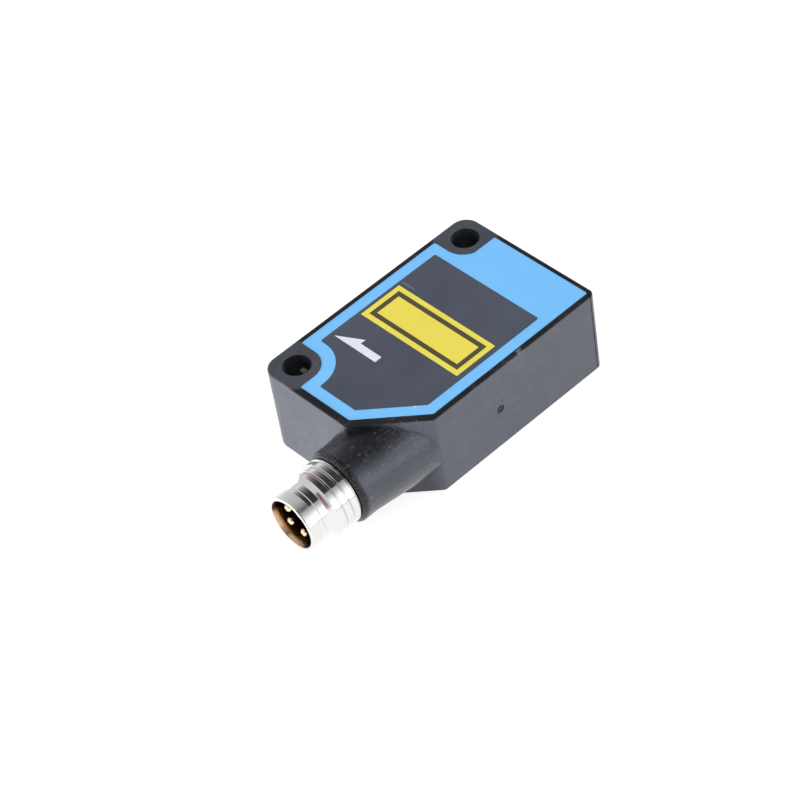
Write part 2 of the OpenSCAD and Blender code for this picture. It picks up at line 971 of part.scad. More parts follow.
module turning_ring(x) {
    color(rubber_black)
        behind_cover(x)
            translate([0, 0, ring_groove])
                rotate_extrude()
                    translate([knob_r - ring_r + mould_gap / 2, 0])
                        circle(r = ring_r, $fn = 32);
}

module sensitivity_adjuster() {
    color([0.93, 0.93, 0.9])
        turning_head(adjuster_x);
}

module adjuster_ring() {
    turning_ring(adjuster_x);
}

module mode_selector() {
    color([0.93, 0.93, 0.9])
        turning_head(selector_x);
}

module selector_ring() {
    turning_ring(selector_x);
}

led_depth = 1.2;
lens_back = board_top_edge;

module led(side) {
    on_board(indicator_x, high_y - lens_back - fit_gap, side)
        translate([-led_w / 2, -led_depth, 0])
            cube([led_w, led_depth, led_h]);
}

module power_led() {
    color([0.3, 0.8, 0.35])
        led(1);
}

module output_led() {
    color([0.95, 0.75, 0.15])
        led(-1);
}

// Clear lens in the cover, with a prong over each indicator lamp
module indicator_lens() {
    color([0.9, 0.93, 0.95, 0.5]) {
        behind_cover(indicator_x)
            linear_extrude(cover_depth)
                rounded_rect(indicator_w, indicator_h, 0.6);
        for (side = [-1, 1])
            on_board(indicator_x, high_y - lens_back, side)
                translate([-led_w / 2, 0, mould_gap])
                    cube([led_w, lens_back - cover_depth / 2, led_h]);
    }
}

// Connector

thread_front = connector_reach - collar_length;
thread_back = stub_length + relief_length;
insert_front = connector_reach - socket_depth;
insert_seat = insert_front - 1.6;

module connector_shell() {
    groove_z = connector_reach - groove_place;
    color(nickel)
        along_connector()
            difference() {
                union() {
                    rotate_extrude()
                        polygon([
                            [0, 0],
                            [relief_r, 0],
                            [relief_r, thread_back],
                            [thread_r - 0.12, thread_back],
                            [thread_r, thread_back + 0.12],
                            [thread_r, thread_front - lead_in],
                            [collar_r, thread_front],
                            [collar_r, groove_z - 0.12],
                            [collar_r - 0.08, groove_z - 0.06],
                            [collar_r, groove_z],
                            [collar_r, connector_reach - 0.2],
                            [collar_r - 0.2, connector_reach],
                            [0, connector_reach]
                        ]);
                    translate([0, 0, -stem_inside])
                        stem(0);
                }
                translate([0, 0, insert_seat])
                    cylinder(h = far, r = socket_r);
                translate([0, 0, connector_reach - 0.06])
                    cylinder(h = 0.07, r1 = socket_r, r2 = socket_r + 0.07);
                translate([0, 0, -far])
                    cylinder(h = 2 * far, r = insert_stem_r + mould_gap);
                // Groove of the sealing ring
                translate([0, 0, shell_ring_z - 0.3])
                    difference() {
                        cylinder(h = 0.6, r = far);
                        cylinder(h = 0.6, r = stem_r - 0.45);
                    }
            }
}

shell_ring_z = stub_length - 1.15;

module shell_ring() {
    color(rubber_black)
        along_connector()
            translate([0, 0, shell_ring_z])
                rotate_extrude()
                    translate([stem_r - 0.22, 0])
                        circle(r = 0.22, $fn = 32);
}

module connector_insert() {
    color([0.16, 0.1, 0.08])
        along_connector()
            difference() {
                union() {
                    translate([0, 0, insert_seat])
                        cylinder(h = insert_front - insert_seat, r = socket_r - mould_gap);
                    translate([0, 0, -stem_inside - 0.2])
                        cylinder(h = insert_seat + stem_inside + 0.2 + lap, r = insert_stem_r);
                }
                for (place = contact_places)
                    translate([place[0], place[1], -far])
                        cylinder(h = 2 * far, r = contact_r + mould_gap);
            }
}

// Contact: domed tip, plain shank and a thinner tail
module contact(place) {
    tip = connector_reach - contact_recess;
    color(gold)
        along_connector()
            translate([place[0], place[1], 0])
                rotate_extrude()
                    polygon(concat(
                        [[0, -tail_end], [tail_r, -tail_end],
                         [tail_r, -stem_inside - 0.2], [contact_r, -stem_inside - 0.2]],
                        [for (turn = [0:15:75])
                            [contact_r * cos(turn), tip - 0.4 * (1 - sin(turn))]],
                        [[0, tip]]
                    ));
}

module contact_1() contact(contact_places[0]);
module contact_2() contact(contact_places[1]);
module contact_3() contact(contact_places[2]);
module contact_4() contact(contact_places[3]);

housing();
end_cover();
cover_seal();
front_window();
window_seal();
label_foil();
label_dark_field();
label_yellow_field();
label_frame_line();
label_arrow();
optics_holder();
emitter_lens();
laser_sleeve();
laser_diode();
receiver_lens();
receiver_shield();
receiver_diode();
receiver_board();
main_board();
controller_chip();
driver_chip();
voltage_regulator();
output_transistors();
capacitors();
resistors();
solder_joints();
sensitivity_trimmer();
sensitivity_adjuster();
adjuster_ring();
mode_switch();
mode_selector();
selector_ring();
power_led();
output_led();
indicator_lens();
connector_shell();
shell_ring();
connector_insert();
contact_1();
contact_2();
contact_3();
contact_4();
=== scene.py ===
"""Looks of a miniature diffuse photoelectric sensor with a round plug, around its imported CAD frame.

Units are metres. +X runs from the optical face to the rear face, +Y from the connector
end to the cover end, and +Z from the base face to the label face.
"""
import math

import bpy
import numpy as np
from mathutils import Matrix, Vector


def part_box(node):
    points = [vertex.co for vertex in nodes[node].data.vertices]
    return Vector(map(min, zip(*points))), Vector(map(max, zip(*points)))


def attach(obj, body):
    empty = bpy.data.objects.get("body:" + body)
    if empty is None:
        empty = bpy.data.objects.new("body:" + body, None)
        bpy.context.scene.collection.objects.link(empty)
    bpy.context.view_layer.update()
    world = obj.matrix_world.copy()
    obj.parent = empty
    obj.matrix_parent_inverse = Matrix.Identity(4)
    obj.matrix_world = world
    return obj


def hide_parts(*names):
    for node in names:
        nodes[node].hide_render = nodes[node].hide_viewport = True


MM = 0.001

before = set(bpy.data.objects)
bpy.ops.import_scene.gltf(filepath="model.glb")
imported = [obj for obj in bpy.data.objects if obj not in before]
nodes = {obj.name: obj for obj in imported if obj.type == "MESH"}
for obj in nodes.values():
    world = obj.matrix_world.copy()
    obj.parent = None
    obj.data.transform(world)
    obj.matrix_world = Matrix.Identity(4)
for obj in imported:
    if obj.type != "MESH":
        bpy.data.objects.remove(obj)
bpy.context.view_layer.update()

# Camera
LENS_MM = 131.99
SENSOR_MM = 36.0
CAMERA_PLACE = Vector((186.116, -138.503, 229.117)) * MM
CAMERA_AIM = Vector((-0.565255, 0.420636, -0.709614))
CAMERA_UP = Vector((-0.456446, 0.557054, 0.693792))


def set_camera():
    """Camera at the photograph's place: its aim, its up direction and its lens."""
    data = bpy.data.cameras.new("view")
    data.lens = LENS_MM
    data.sensor_width = SENSOR_MM
    data.clip_start = 0.01
    data.clip_end = 10
    camera = bpy.data.objects.new("view", data)
    bpy.context.scene.collection.objects.link(camera)
    back = -CAMERA_AIM.normalized()
    right = CAMERA_UP.cross(back).normalized()
    up = back.cross(right)
    turn = Matrix((right, up, back)).transposed()
    camera.matrix_world = Matrix.Translation(CAMERA_PLACE) @ turn.to_4x4()
    bpy.context.scene.camera = camera


set_camera()

# Places that the CAD gives
SHELL_LOW, SHELL_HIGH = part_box("connector_shell")
HOUSING_LOW, HOUSING_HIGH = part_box("housing")
PLUG_X = (SHELL_LOW.x + SHELL_HIGH.x) / 2
PLUG_Z = (SHELL_LOW.z + SHELL_HIGH.z) / 2
TIP_Y = SHELL_LOW.y
BASE_Z = HOUSING_LOW.z
TOP_Z = HOUSING_HIGH.z
STUB_ROOT_R = 5.15 * MM
STUB_START_Y = -8.85 * MM
END_Y = -15.55 * MM
HOLE_Y = 12.7 * MM
HOLE_R = 1.6 * MM
BORE_R = 2.8 * MM
THREAD_PITCH = 1.0 * MM
LIT_SIDE_ANGLE = math.radians(-124)
CONTACTS =["contact_1", "contact_2", "contact_3", "contact_4"]

# Round marks and painted shade on the moulded plastic: centre and radius, in millimetres
GATE_MARK = ((17.2, 0.15, 5.25), 0.62)
GATE_SHADOW = ((17.2, -0.3, 4.75), 1.0)
SHADE_ABOVE_STUB = ((11.8, -14.4, 10.8), 5.4)
SHADE_BELOW_STUB = ((14.2, -12.2, 0.2), 5.5)
RUBBED_ROOT = ((14.6, -12.0, 8.9), 3.4)
HOLE_PATCH = ((-0.78, -11.32, 8.55), 0.6)
TIP_DOT_R = 0.2

# Marks and a zone of painted shade, with limits by axis, in millimetres
STUB_END = {"Y": (-19.6, -18.55)}
EDGE_NICK = {"X": (16.75, 17.3), "Y": (3.5, 4.8), "Z": (10.75, 11.1)}
BLUE_SCUFF = {"X": (13.9, 14.4), "Y": (-8.95, -8.65)}
LABEL_SCRATCH = {"X": (-0.5, 1.4), "Y": (3.42, 3.49)}

# Screen colours, 0 to 255
MOULDED_BLACK = (57, 58, 68)
POLISHED_BLACK = (31, 33, 39)
# Painted shade on the stub's end
STUB_END_SHADE = (24, 22, 23)
# Painted shade, round the stub and as the gate mark's shadow
SHADE_BLACK = (18, 19, 22)
GATE_BLACK = (12, 12, 14)
DUST_GREY = (176, 178, 190)
INNER_BLACK = (34, 34, 36)
RUBBER_BLACK = (28, 28, 28)
INSERT_BROWN = (66, 44, 36)
ADJUSTER_GREY = (214, 214, 208)
BOARD_GREEN = (18, 84, 52)
CERAMIC_TAN = (172, 146, 114)
LABEL_BLUE = (119, 193, 255)
LABEL_DARK = (73, 79, 93)
LABEL_YELLOW = (236, 220, 84)
LABEL_FRAME = (76, 72, 50)
LABEL_WHITE = (226, 230, 243)
SCUFF_WHITE = (214, 222, 236)

# Linear colours
PATCH_WHITE = (0.9, 0.9, 0.92)
NICKEL = (0.745, 0.74, 0.735)
LIT_COPPER = (0.84, 0.58, 0.39)
BORE_SHADE_BROWN = (0.66, 0.27, 0.05)
BORE_SHADE = (0.08, 0.045, 0.045)
GOLD = (0.98, 0.86, 0.56)
TIP_DOT_BROWN = (0.16, 0.1, 0.05)
PINK_REFLECTION = (0.62, 0.3, 0.38)
BRASS = (0.8, 0.6, 0.3)
TIN = (0.72, 0.72, 0.72)
WINDOW_RED = (0.42, 0.008, 0.012)
LENS_CLEAR = (0.95, 0.97, 1.0)
LAMP_CLEAR = (0.9, 0.93, 0.93)
LAMP_GREEN = (0.1, 0.7, 0.2)
LAMP_YELLOW = (0.9, 0.6, 0.05)
# Tints of the plastic's reflections: a painted cool tint, and a dim one for painted shade and the dull gate
# mark
COOL_SHEEN = (0.82, 0.88, 1.0)
DULL_AND_SHADED_SHEEN = (0.34, 0.34, 0.36)

# Values between which most of a cloudy noise lies
CLOUD_RANGE = (0.3, 0.7)


def srgb(red, green, blue):
    """Linear colour of an 8-bit screen colour."""
    return tuple(
        value / 255 / 12.92 if value <= 10 else ((value / 255 + 0.055) / 1.055) ** 2.4
        for value in (red, green, blue)
    )


def shaded(colour, share):
    """Linear colour made darker or paler by a share."""
    return tuple(min(1.0, channel * share) for channel in colour)


# Materials: one class holds the node tree of one finish
class Finish:
    """One procedural material. Its patterns read Object coordinates, in metres."""

    def __init__(self, name):
        self.material = bpy.data.materials.new(name)
        self.material.use_nodes = True
        self.tree = self.material.node_tree
        self.shader = self.tree.nodes["Principled BSDF"]
        self.place = self.tree.nodes.new("ShaderNodeTexCoord").outputs["Object"]

    def feed(self, socket, value):
        """Links a socket to a value that is a socket, and sets it otherwise."""
        if isinstance(value, bpy.types.NodeSocket):
            self.tree.links.new(value, socket)
        elif isinstance(value, tuple) and socket.type == "RGBA":
            socket.default_value = (*value, 1)
        else:
            socket.default_value = value

    def node(self, kind, inputs=None, **settings):
        """Adds a node with its settings and inputs."""
        node = self.tree.nodes.new("ShaderNode" + kind)
        for key, value in settings.items():
            setattr(node, key, value)
        for key, value in (inputs or {}).items():
            self.feed(node.inputs[key], value)
        return node

    def set(self, **inputs):
        """Sets or links the shader's own sockets; underscores stand for spaces."""
        for key, value in inputs.items():
            self.feed(self.shader.inputs[key.replace("_", " ")], value)

    def maths(self, operation, a, b=0.0):
        """Result of one operation on one or two values."""
        return self.node("Math", {0: a, 1: b}, operation=operation).outputs[0]

    def chain(self, operation, values):
        """One operation carried through several values."""
        result = values[0]
        for value in values[1:]:
            result = self.maths(operation, result, value)
        return result

    def times(self, *values):
        """Product of several values."""
        return self.chain("MULTIPLY", values)

    def most(self, *values):
        """Largest of several values."""
        return self.chain("MAXIMUM", values)

    def less(self, *values):
        """The first value less all the others."""
        return self.chain("SUBTRACT", values)

    def between(self, value, low, high, to_low=0.0, to_high=1.0):
        """Maps low..high to to_low..to_high with a smooth step."""
        inputs = {
            "Value": value, "From Min": low, "From Max": high, "To Min": to_low, "To Max": to_high,
        }
        return self.node("MapRange", inputs, interpolation_type="SMOOTHSTEP").outputs["Result"]

    def spread(self, cloud, to_low, to_high):
        """Maps the usual range of a cloudy noise to to_low..to_high."""
        return self.between(cloud, *CLOUD_RANGE, to_low, to_high)

    def mix(self, share, a, b):
        """Colour a where share is 0, and colour b where it is 1."""
        node = self.node("Mix", data_type="RGBA")
        for key, value in (("Factor", share), (6, a), (7, b)):
            self.feed(node.inputs[key], value)
        return node.outputs[2]

    def stretched(self, factors, turn=(0, 0, 0)):
        """Object coordinates turned, then scaled by factors."""
        inputs = {"Vector": self.place, "Rotation": turn, "Scale": factors}
        return self.node("Mapping", inputs).outputs[0]

    def noise(self, size, detail=2.0, roughness=0.5, where=None):
        """Cloudy noise whose blobs are about size metres wide."""
        inputs = {
            "Vector": where or self.place, "Scale": 1 / size, "Detail": detail, "Roughness": roughness,
        }
        return self.node("TexNoise", inputs).outputs["Fac"]

    def turning(self, width, drawn_out, detail=2.0, roughness=0.5):
        """Turning rings round the Y axis, width metres wide and drawn out across it."""
        return self.noise(width, detail, roughness, self.stretched((drawn_out, 1, drawn_out)))

    def specks(self, spacing, radius, share):
        """Small round specks: spacing apart on a jittered grid, and only that share of them."""
        inputs = {"Vector": self.place, "Scale": 1 / spacing}
        cells = self.node("TexVoronoi", inputs, feature="F1")
        dot = self.between(cells.outputs["Distance"], radius / spacing, radius / spacing * 0.4)
        pick = self.node("SeparateColor", {0: cells.outputs["Color"]}).outputs[0]
        return self.times(dot, self.maths("LESS_THAN", pick, share))

    def axis(self, name):
        """One object coordinate: X, Y or Z."""
        return self.node("SeparateXYZ", {0: self.place}).outputs[name]

    def reach(self, plane, first, second):
        """Distance from an axis that stands across the plane, as XY, at its two coordinates."""
        sides = [
            self.maths("POWER", self.less(self.axis(name), centre), 2.0)
            for name, centre in zip(plane, (first, second))
        ]
        return self.maths("SQRT", self.maths("ADD", *sides))

    def band(self, value, low, high, soft):
        """1 from low to high, with soft edges."""
        return self.times(
            self.between(value, low - soft, low + soft), self.between(value, high + soft, high - soft)
        )

    def field(self, limits, soft):
        """1 inside limits, given by axis in millimetres, with soft edges."""
        parts = [
            self.band(self.axis(name), low * MM, high * MM, soft * MM)
            for name, (low, high) in limits.items()
        ]
        return self.times(*parts)

    def spot(self, centre, radius, soft=0.5):
        """1 inside a ball, given in millimetres; soft is the share of its radius that fades."""
        inputs = {0: self.place, 1: tuple(value * MM for value in centre)}
        reach = self.node("VectorMath", inputs, operation="DISTANCE").outputs["Value"]
        return self.between(reach, radius * MM, radius * (1 - soft) * MM)

    def bump(self, height, distance, under=None):
        """Normal from a height field that is distance metres deep."""
        inputs = {"Height": height, "Distance": distance, "Strength": 1.0}
        if under is not None:
            inputs["Normal"] = under
        return self.node("Bump", inputs).outputs[0]


# Moulded plastics
def moulded_plastic(name, colour, roughness):
    """Plain moulded plastic: fine grain, and slow changes of colour and gloss."""
    f = Finish(name)
    colour = srgb(*colour)
    cloud = f.noise(0.004, 4, 0.6)
    f.set(
        Base_Color=f.mix(cloud, shaded(colour, 0.86), shaded(colour, 1.14)),
        Roughness=f.spread(cloud, roughness - 0.05, roughness + 0.06),
        Normal=f.bump(f.noise(0.00012, 3, 0.6), 0.000003),
    )
    return f


def polished_and_shaded_shares(f):
    """1 on the polished stub, on the label face's narrow rim, which is polished too, and in the holes; the
    rim and the hole walls also get painted shade.
    """
    near_axis = f.between(f.reach("XZ", PLUG_X, PLUG_Z), STUB_ROOT_R + 0.1 * MM, STUB_ROOT_R)
    past_start = f.between(f.axis("Y"), STUB_START_Y + 0.3 * MM, STUB_START_Y - 0.1 * MM)
    reaches = [f.reach("XY", 0.0, place) for place in (-HOLE_Y, HOLE_Y)]
    off_holes = [f.between(reach, 3.3 * MM, 3.9 * MM) for reach in reaches]
    on_rim = f.times(*off_holes, f.between(f.axis("Z"), TOP_Z - 0.25 * MM, TOP_Z - 0.12 * MM))
    near_holes = [f.between(reach, HOLE_R + 0.15 * MM, HOLE_R + 0.05 * MM) for reach in reaches]
    in_holes = f.times(f.most(*near_holes), f.between(f.axis("Z"), TOP_Z, TOP_Z - 0.1 * MM))
    return f.times(near_axis, past_start), on_rim, in_holes


def polished_and_shaded_tones(f, cloud):
    """Colours of the stub, with painted light on its lower side, and of the rim and the holes, darkened as
    painted shade.
    """
    polished = srgb(*POLISHED_BLACK)
    # Painted light: the stub's lower side is paler.
    paler = tuple(channel + 0.013 for channel in polished)
    painted_lit_underside = f.mix(f.between(f.axis("Z"), 8.2 * MM, 6.2 * MM), polished, paler)
    stub = f.mix(f.spread(cloud, 0, 0.25), painted_lit_underside, shaded(polished, 0.4))
    # Painted shade: the rim and the hole walls are darker than the stub.
    rim = f.mix(cloud, shaded(polished, 0.35), shaded(polished, 0.5))
    holes = f.mix(cloud, shaded(polished, 0.9), shaded(polished, 1.2))
    return stub, rim, holes


def grained_tone(f, cloud, mottle):
    """Colour of the grained faces: clouds, fine mottling and smears, and painted shade on the label face."""
    grained = srgb(*MOULDED_BLACK)
    tone = f.mix(cloud, shaded(grained, 0.9), shaded(grained, 1.12))
    tone = f.mix(f.between(mottle, 0.4, 0.7, 0.0, 0.3), tone, shaded(grained, 1.8))
    slanted = f.stretched((1, 0.6, 1.9), (0.4, 0.3, 0.5))
    smears = f.between(f.noise(0.0021, 3, 0.6, slanted), 0.46, 0.7)
    tone = f.mix(f.times(smears, 0.3), tone, shaded(grained, 2.0))
    # Painted shade: the label face is darker than the side faces.
    label_face_shade = f.between(f.axis("Z"), TOP_Z - 0.3 * MM, TOP_Z - 0.1 * MM)
    return f.mix(f.times(label_face_shade, 0.2), tone, (0, 0, 0))


def dust_share(f, on_stub, on_stub_end):
    """Share of pale dust: powder, specks and scuffs in patches, fewer on the stub."""
    patches = f.between(f.noise(0.0042, 2, 0.5), 0.45, 0.62)
    powder = f.times(f.between(f.noise(0.00022, 4, 0.75), 0.52, 0.78), patches, 0.3)
    fine = f.times(f.specks(0.00036, 0.00006, 0.4), patches, 0.5)
    coarse = f.times(f.specks(0.0015, 0.00009, 0.24), 0.5)
    scuffs = f.times(f.between(f.noise(0.0011, 4, 0.65), 0.53, 0.7), patches, 0.07)
    end_specks = f.times(f.specks(0.00028, 0.00008, 0.6), on_stub_end, 0.45)
    share = f.most(powder, fine, coarse, scuffs, end_specks)
    return f.times(share, f.less(1.0, f.times(on_stub, 0.45)))


def rubbed_share(f, on_stub):
    """Scuffs where the stub runs into the cut face, and hairlines along the stub."""
    slanted = f.stretched((1, 0.35, 2.2), (0.5, 0, 0.8))
    root = f.between(f.noise(0.0005, 4, 0.7, slanted), 0.5, 0.72)
    along_stub = f.stretched((1, 0.3, 1), (0.3, 0, 0.5))
    hairs = f.between(f.noise(0.00026, 3, 0.7, along_stub), 0.6, 0.78)
    return f.most(f.times(root, f.spot(*RUBBED_ROOT, 0.8), 0.3), f.times(hairs, on_stub, 0.3))


def nick_share(f):
    """Chipped nick on the rear edge of the label face."""
    chipped = f.between(f.noise(0.0007, 2, 0.5), 0.4, 0.6)
    return f.times(f.field(EDGE_NICK, 0.15), chipped, 0.3)


def hole_patch_share(f):
    """Pale ragged patch on the lower hole's wall."""
    ragged = f.between(f.noise(0.0004, 2, 0.5), 0.4, 0.5)
    return f.times(f.spot(*HOLE_PATCH, 0.5), ragged)


def stub_shade_share(f):
    """Painted shade on the cut face, above and below the stub."""
    past_left = f.between(f.axis("X"), 10.5 * MM, 10.9 * MM)
    before_rear = f.between(f.axis("X"), 17.1 * MM, 16.6 * MM)
    above = f.times(f.spot(*SHADE_ABOVE_STUB, 0.85), past_left, 0.9)
    below = f.times(f.spot(*SHADE_BELOW_STUB, 0.5), before_rear, 0.5)
    return f.most(above, below)


def gate_share(f):
    """Dark, ragged skin of the gate mark."""
    ragged = f.between(f.noise(0.00012, 3, 0.6), 0.42, 0.62, 1.0, 0.5)
    return f.times(f.spot(*GATE_MARK, 0.4), ragged)


def housing_plastic():
    """Black moulded plastic of the body: spark grain, polished parts, dust, a few marks, and painted light
    and shade on the stub, the rim, the holes, the cut face and the label face.
    """
    f = Finish("housing_plastic")
    cloud, mottle = f.noise(0.005, 4, 0.6), f.noise(0.0003, 3, 0.7)
    on_polished_and_shaded = polished_and_shaded_shares(f)
    on_stub, on_rim, in_holes = on_polished_and_shaded
    on_stub_end = f.field(STUB_END, 0.2)
    stub_shade, gate = stub_shade_share(f), gate_share(f)
    # Painted shadow of the gate mark, to its lower left.
    gate_shadow = f.times(f.spot(*GATE_SHADOW, 0.9), 0.4)
    dust = f.most(dust_share(f, on_stub, on_stub_end), rubbed_share(f, on_stub), nick_share(f))
    # Painted shade on the reflections of the rim, round the stub and at the stub's end; the gate mark is
    # dull.
    dull_and_shaded_sheen = f.most(on_rim, stub_shade, on_stub_end, f.times(gate, 0.8))
    layers = [
        *zip(on_polished_and_shaded, polished_and_shaded_tones(f, cloud)),
        # Painted shade on the stub's end, behind the thread.
        (f.times(on_stub_end, 0.9), srgb(*STUB_END_SHADE)),
        (stub_shade, srgb(*SHADE_BLACK)),
        (gate_shadow, srgb(*SHADE_BLACK)),
        (f.times(gate, 0.85), srgb(*GATE_BLACK)),
        (dust, srgb(*DUST_GREY)),
        (hole_patch_share(f), PATCH_WHITE),
    ]
    tone = grained_tone(f, cloud, mottle)
    for share, colour in layers:
        tone = f.mix(share, tone, colour)
    grain = f.bump(mottle, 0.000006, f.bump(f.noise(0.00011, 3, 0.6), 0.0000035))
    f.set(
        Base_Color=tone,
        Roughness=f.less(f.spread(cloud, 0.38, 0.46), f.times(on_stub, 0.1), f.times(on_rim, 0.12)),
        Specular_IOR_Level=1.0,
        Specular_Tint=f.mix(dull_and_shaded_sheen, COOL_SHEEN, DULL_AND_SHADED_SHEEN),
        Normal=f.bump(f.most(dust, gate), 0.000012, grain),
    )
    return f


# Printed label
def printed_foil(name, colour, uneven=0.0, mark=None):
    """Printed label foil: nearly even ink, a faint tooth and slow changes of tone and gloss."""
    f = Finish(name)
    colour = srgb(*colour)
    cloud = f.noise(0.0035, 3, 0.55)
    slow = f.spread(f.noise(0.011, 2, 0.5), 0.0, 1.0)
    tone = f.mix(cloud, shaded(colour, 0.95), shaded(colour, 1.05))
    tone = f.mix(f.times(slow, uneven), tone, shaded(colour, 0.6))
    if mark:
        tone = f.mix(mark(f), tone, srgb(*SCUFF_WHITE))
    f.set(
        Base_Color=tone,
        Roughness=f.spread(cloud, 0.29, 0.39),
        Normal=f.bump(f.noise(0.00009, 2, 0.6), 0.0000016),
    )
    return f


def blue_scuff(f):
    """Small white scuff where the blue border turns."""
    ragged = f.between(f.noise(0.00022, 2, 0.6), 0.42, 0.55)
    return f.times(f.field(BLUE_SCUFF, 0.08), ragged, 0.9)


def fine_scratch(f):
    """Fine pale scratch beside the yellow field."""
    return f.times(f.field(LABEL_SCRATCH, 0.05), 0.3)


# Plated metals
def plug_angle(f):
    """Angle round the plug's axis, from +X towards +Z."""
    return f.maths("ARCTAN2", f.less(f.axis("Z"), PLUG_Z), f.less(f.axis("X"), PLUG_X))


def plug_turn(f, start, end):
    """Smooth step over the angle round the plug's axis, from start to end in degrees."""
    return f.between(plug_angle(f), math.radians(start), math.radians(end))


def plug_depth(f):
    """Distance from the plug's rim towards the body."""
    return f.less(f.axis("Y"), TIP_Y)


def wound_depth(f):
    """Depth that stays the same along the thread: depth plus pitch times angle over a full turn."""
    return f.maths("ADD", plug_depth(f), f.times(plug_angle(f), THREAD_PITCH / math.tau))


def painted_pink_reflections(f):
    """Painted pink reflections, each a share and its colour.

    They lie on the first crest, in the groove behind it and, thicker at the top, on the lead-in cone.
    """
    upper_end = plug_turn(f, 116, 104)
    crest = f.times(f.band(plug_depth(f), 3.6 * MM, 4.05 * MM, 0.1 * MM), plug_turn(f, 62, 92), upper_end)
    groove = f.times(f.band(wound_depth(f), 4.27 * MM, 4.47 * MM, 0.05 * MM), plug_turn(f, 58, 70), upper_end)
    cone = f.times(
        f.band(plug_depth(f), 2.84 * MM, 3.14 * MM, 0.06 * MM), plug_turn(f, 26, 44), plug_turn(f, 72, 64)
    )
    cone_pink_reflection = f.mix(plug_turn(f, 38, 60), shaded(PINK_REFLECTION, 0.7), shaded(PINK_REFLECTION, 0.3))
    return (f.times(crest, 0.6), PINK_REFLECTION), (f.times(groove, 0.4), PINK_REFLECTION), (f.times(cone, 0.9), cone_pink_reflection)


def nickel_plate():
    """Bright nickel on turned brass: fine turning rings and a painted pink reflection in the first turns."""
    f = Finish("nickel_plate")
    cloud = f.noise(0.0012, 3, 0.6)
    metal = f.mix(cloud, shaded(NICKEL, 0.95), NICKEL)
    # Painted pink reflections over the nickel.
    for share, pink_reflection in painted_pink_reflections(f):
        metal = f.mix(share, metal, pink_reflection)
    f.set(
        Base_Color=metal,
        Metallic=1.0,
        Roughness=f.spread(cloud, 0.08, 0.13),
        Normal=f.bump(f.turning(0.00006, 0.04), 0.0000006, f.bump(f.noise(0.00016, 3, 0.7), 0.0000015)),
    )
    return f


def brushed_nickel():
    """Nickel over the fine turning of the front band, rougher on its upper side, where its colour is also
    paler as a painted highlight.

    The rings spread gloss along the axis.
    """
    f = Finish("brushed_nickel")
    cloud = f.noise(0.0009, 3, 0.6)
    rougher_painted_pale = plug_turn(f, 58, 78)
    metal = f.mix(cloud, shaded(NICKEL, 0.94), shaded(NICKEL, 1.02))
    fine = f.bump(f.turning(0.00005, 0.03), 0.000001)
    f.set(
        # Painted highlight: the upper side's colour is paler.
        Base_Color=f.mix(rougher_painted_pale, metal, shaded(NICKEL, 1.3)),
        Metallic=1.0,
        Roughness=f.maths("ADD", f.spread(cloud, 0.26, 0.34), f.times(rougher_painted_pale, 0.42)),
        Anisotropic=0.88,
        Anisotropic_Rotation=0.25,
        Tangent=f.node("Tangent", direction_type="RADIAL", axis="Y").outputs[0],
        Normal=f.bump(f.turning(0.00011, 0.02, 3, 0.6), 0.000003, fine),
    )
    return f


def plated_metal(name, colour, roughness, mark=None):
    """Plated metal part: fine turning rings and a cloudy gloss, and a brown mark if it has one."""
    f = Finish(name)
    cloud = f.noise(0.0012, 3, 0.6)
    tone = f.mix(cloud, shaded(colour, 0.92), colour)
    if mark:
        tone = f.mix(mark(f), tone, TIP_DOT_BROWN)
    f.set(
        Base_Color=tone,
        Metallic=1.0,
        Roughness=f.spread(cloud, roughness * 0.8, roughness * 1.25),
        Normal=f.bump(f.turning(0.00006, 0.04), 0.000001),
    )
    return f


def bore_plate():
    """Plating of the bore: a tan side of painted light that turns brown and dark with depth as painted shade,
    and painted shade round the rest.
    """
    f = Finish("bore_plate")
    cloud = f.noise(0.0008, 3, 0.6)
    depth = plug_depth(f)
    towards = Vector((math.cos(LIT_SIDE_ANGLE), 0, math.sin(LIT_SIDE_ANGLE)))
    inputs = {0: f.place, 1: tuple(towards)}
    along = f.node("VectorMath", inputs, operation="DOT_PRODUCT").outputs["Value"]
    lean = f.less(along, PLUG_X * towards.x + PLUG_Z * towards.z)
    # Painted light on one side near the rim, turning into painted shade with depth.
    wall = f.mix(f.between(depth, 0.4 * MM, 0.75 * MM), LIT_COPPER, BORE_SHADE_BROWN)
    wall = f.mix(f.between(depth, 0.8 * MM, 1.6 * MM), wall, BORE_SHADE)
    wall = f.mix(f.times(cloud, 0.12), wall, BORE_SHADE)
    f.set(
        # Painted shade round the rest of the bore.
        Base_Color=f.mix(f.between(lean, BORE_R * 0.42, BORE_R * 0.72), BORE_SHADE, wall),
        Metallic=1.0,
        Roughness=f.spread(cloud, 0.24, 0.36),
        Normal=f.bump(f.turning(0.00006, 0.04), 0.000001),
    )
    return f


def tip_dots(f):
    """Dark brown dot on the tip of each contact."""
    dots = []
    for contact in CONTACTS:
        low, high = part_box(contact)
        tip = ((low.x + high.x) / 2 / MM, low.y / MM, (low.z + high.z) / 2 / MM)
        dots.append(f.spot(tip, TIP_DOT_R, 0.6))
    return f.times(f.most(*dots), 0.85)


def clear_plastic(name, colour, roughness=0.05, share=0.9):
    """Clear or tinted moulded plastic."""
    f = Finish(name)
    haze = f.noise(0.002, 2)
    f.set(
        Base_Color=f.mix(haze, shaded(colour, 0.94), colour),
        Roughness=f.spread(haze, roughness * 0.7, roughness * 1.3),
        Normal=f.bump(f.noise(0.003, 1), 0.0000006),
        Transmission_Weight=share,
        IOR=1.49,
    )
    return f


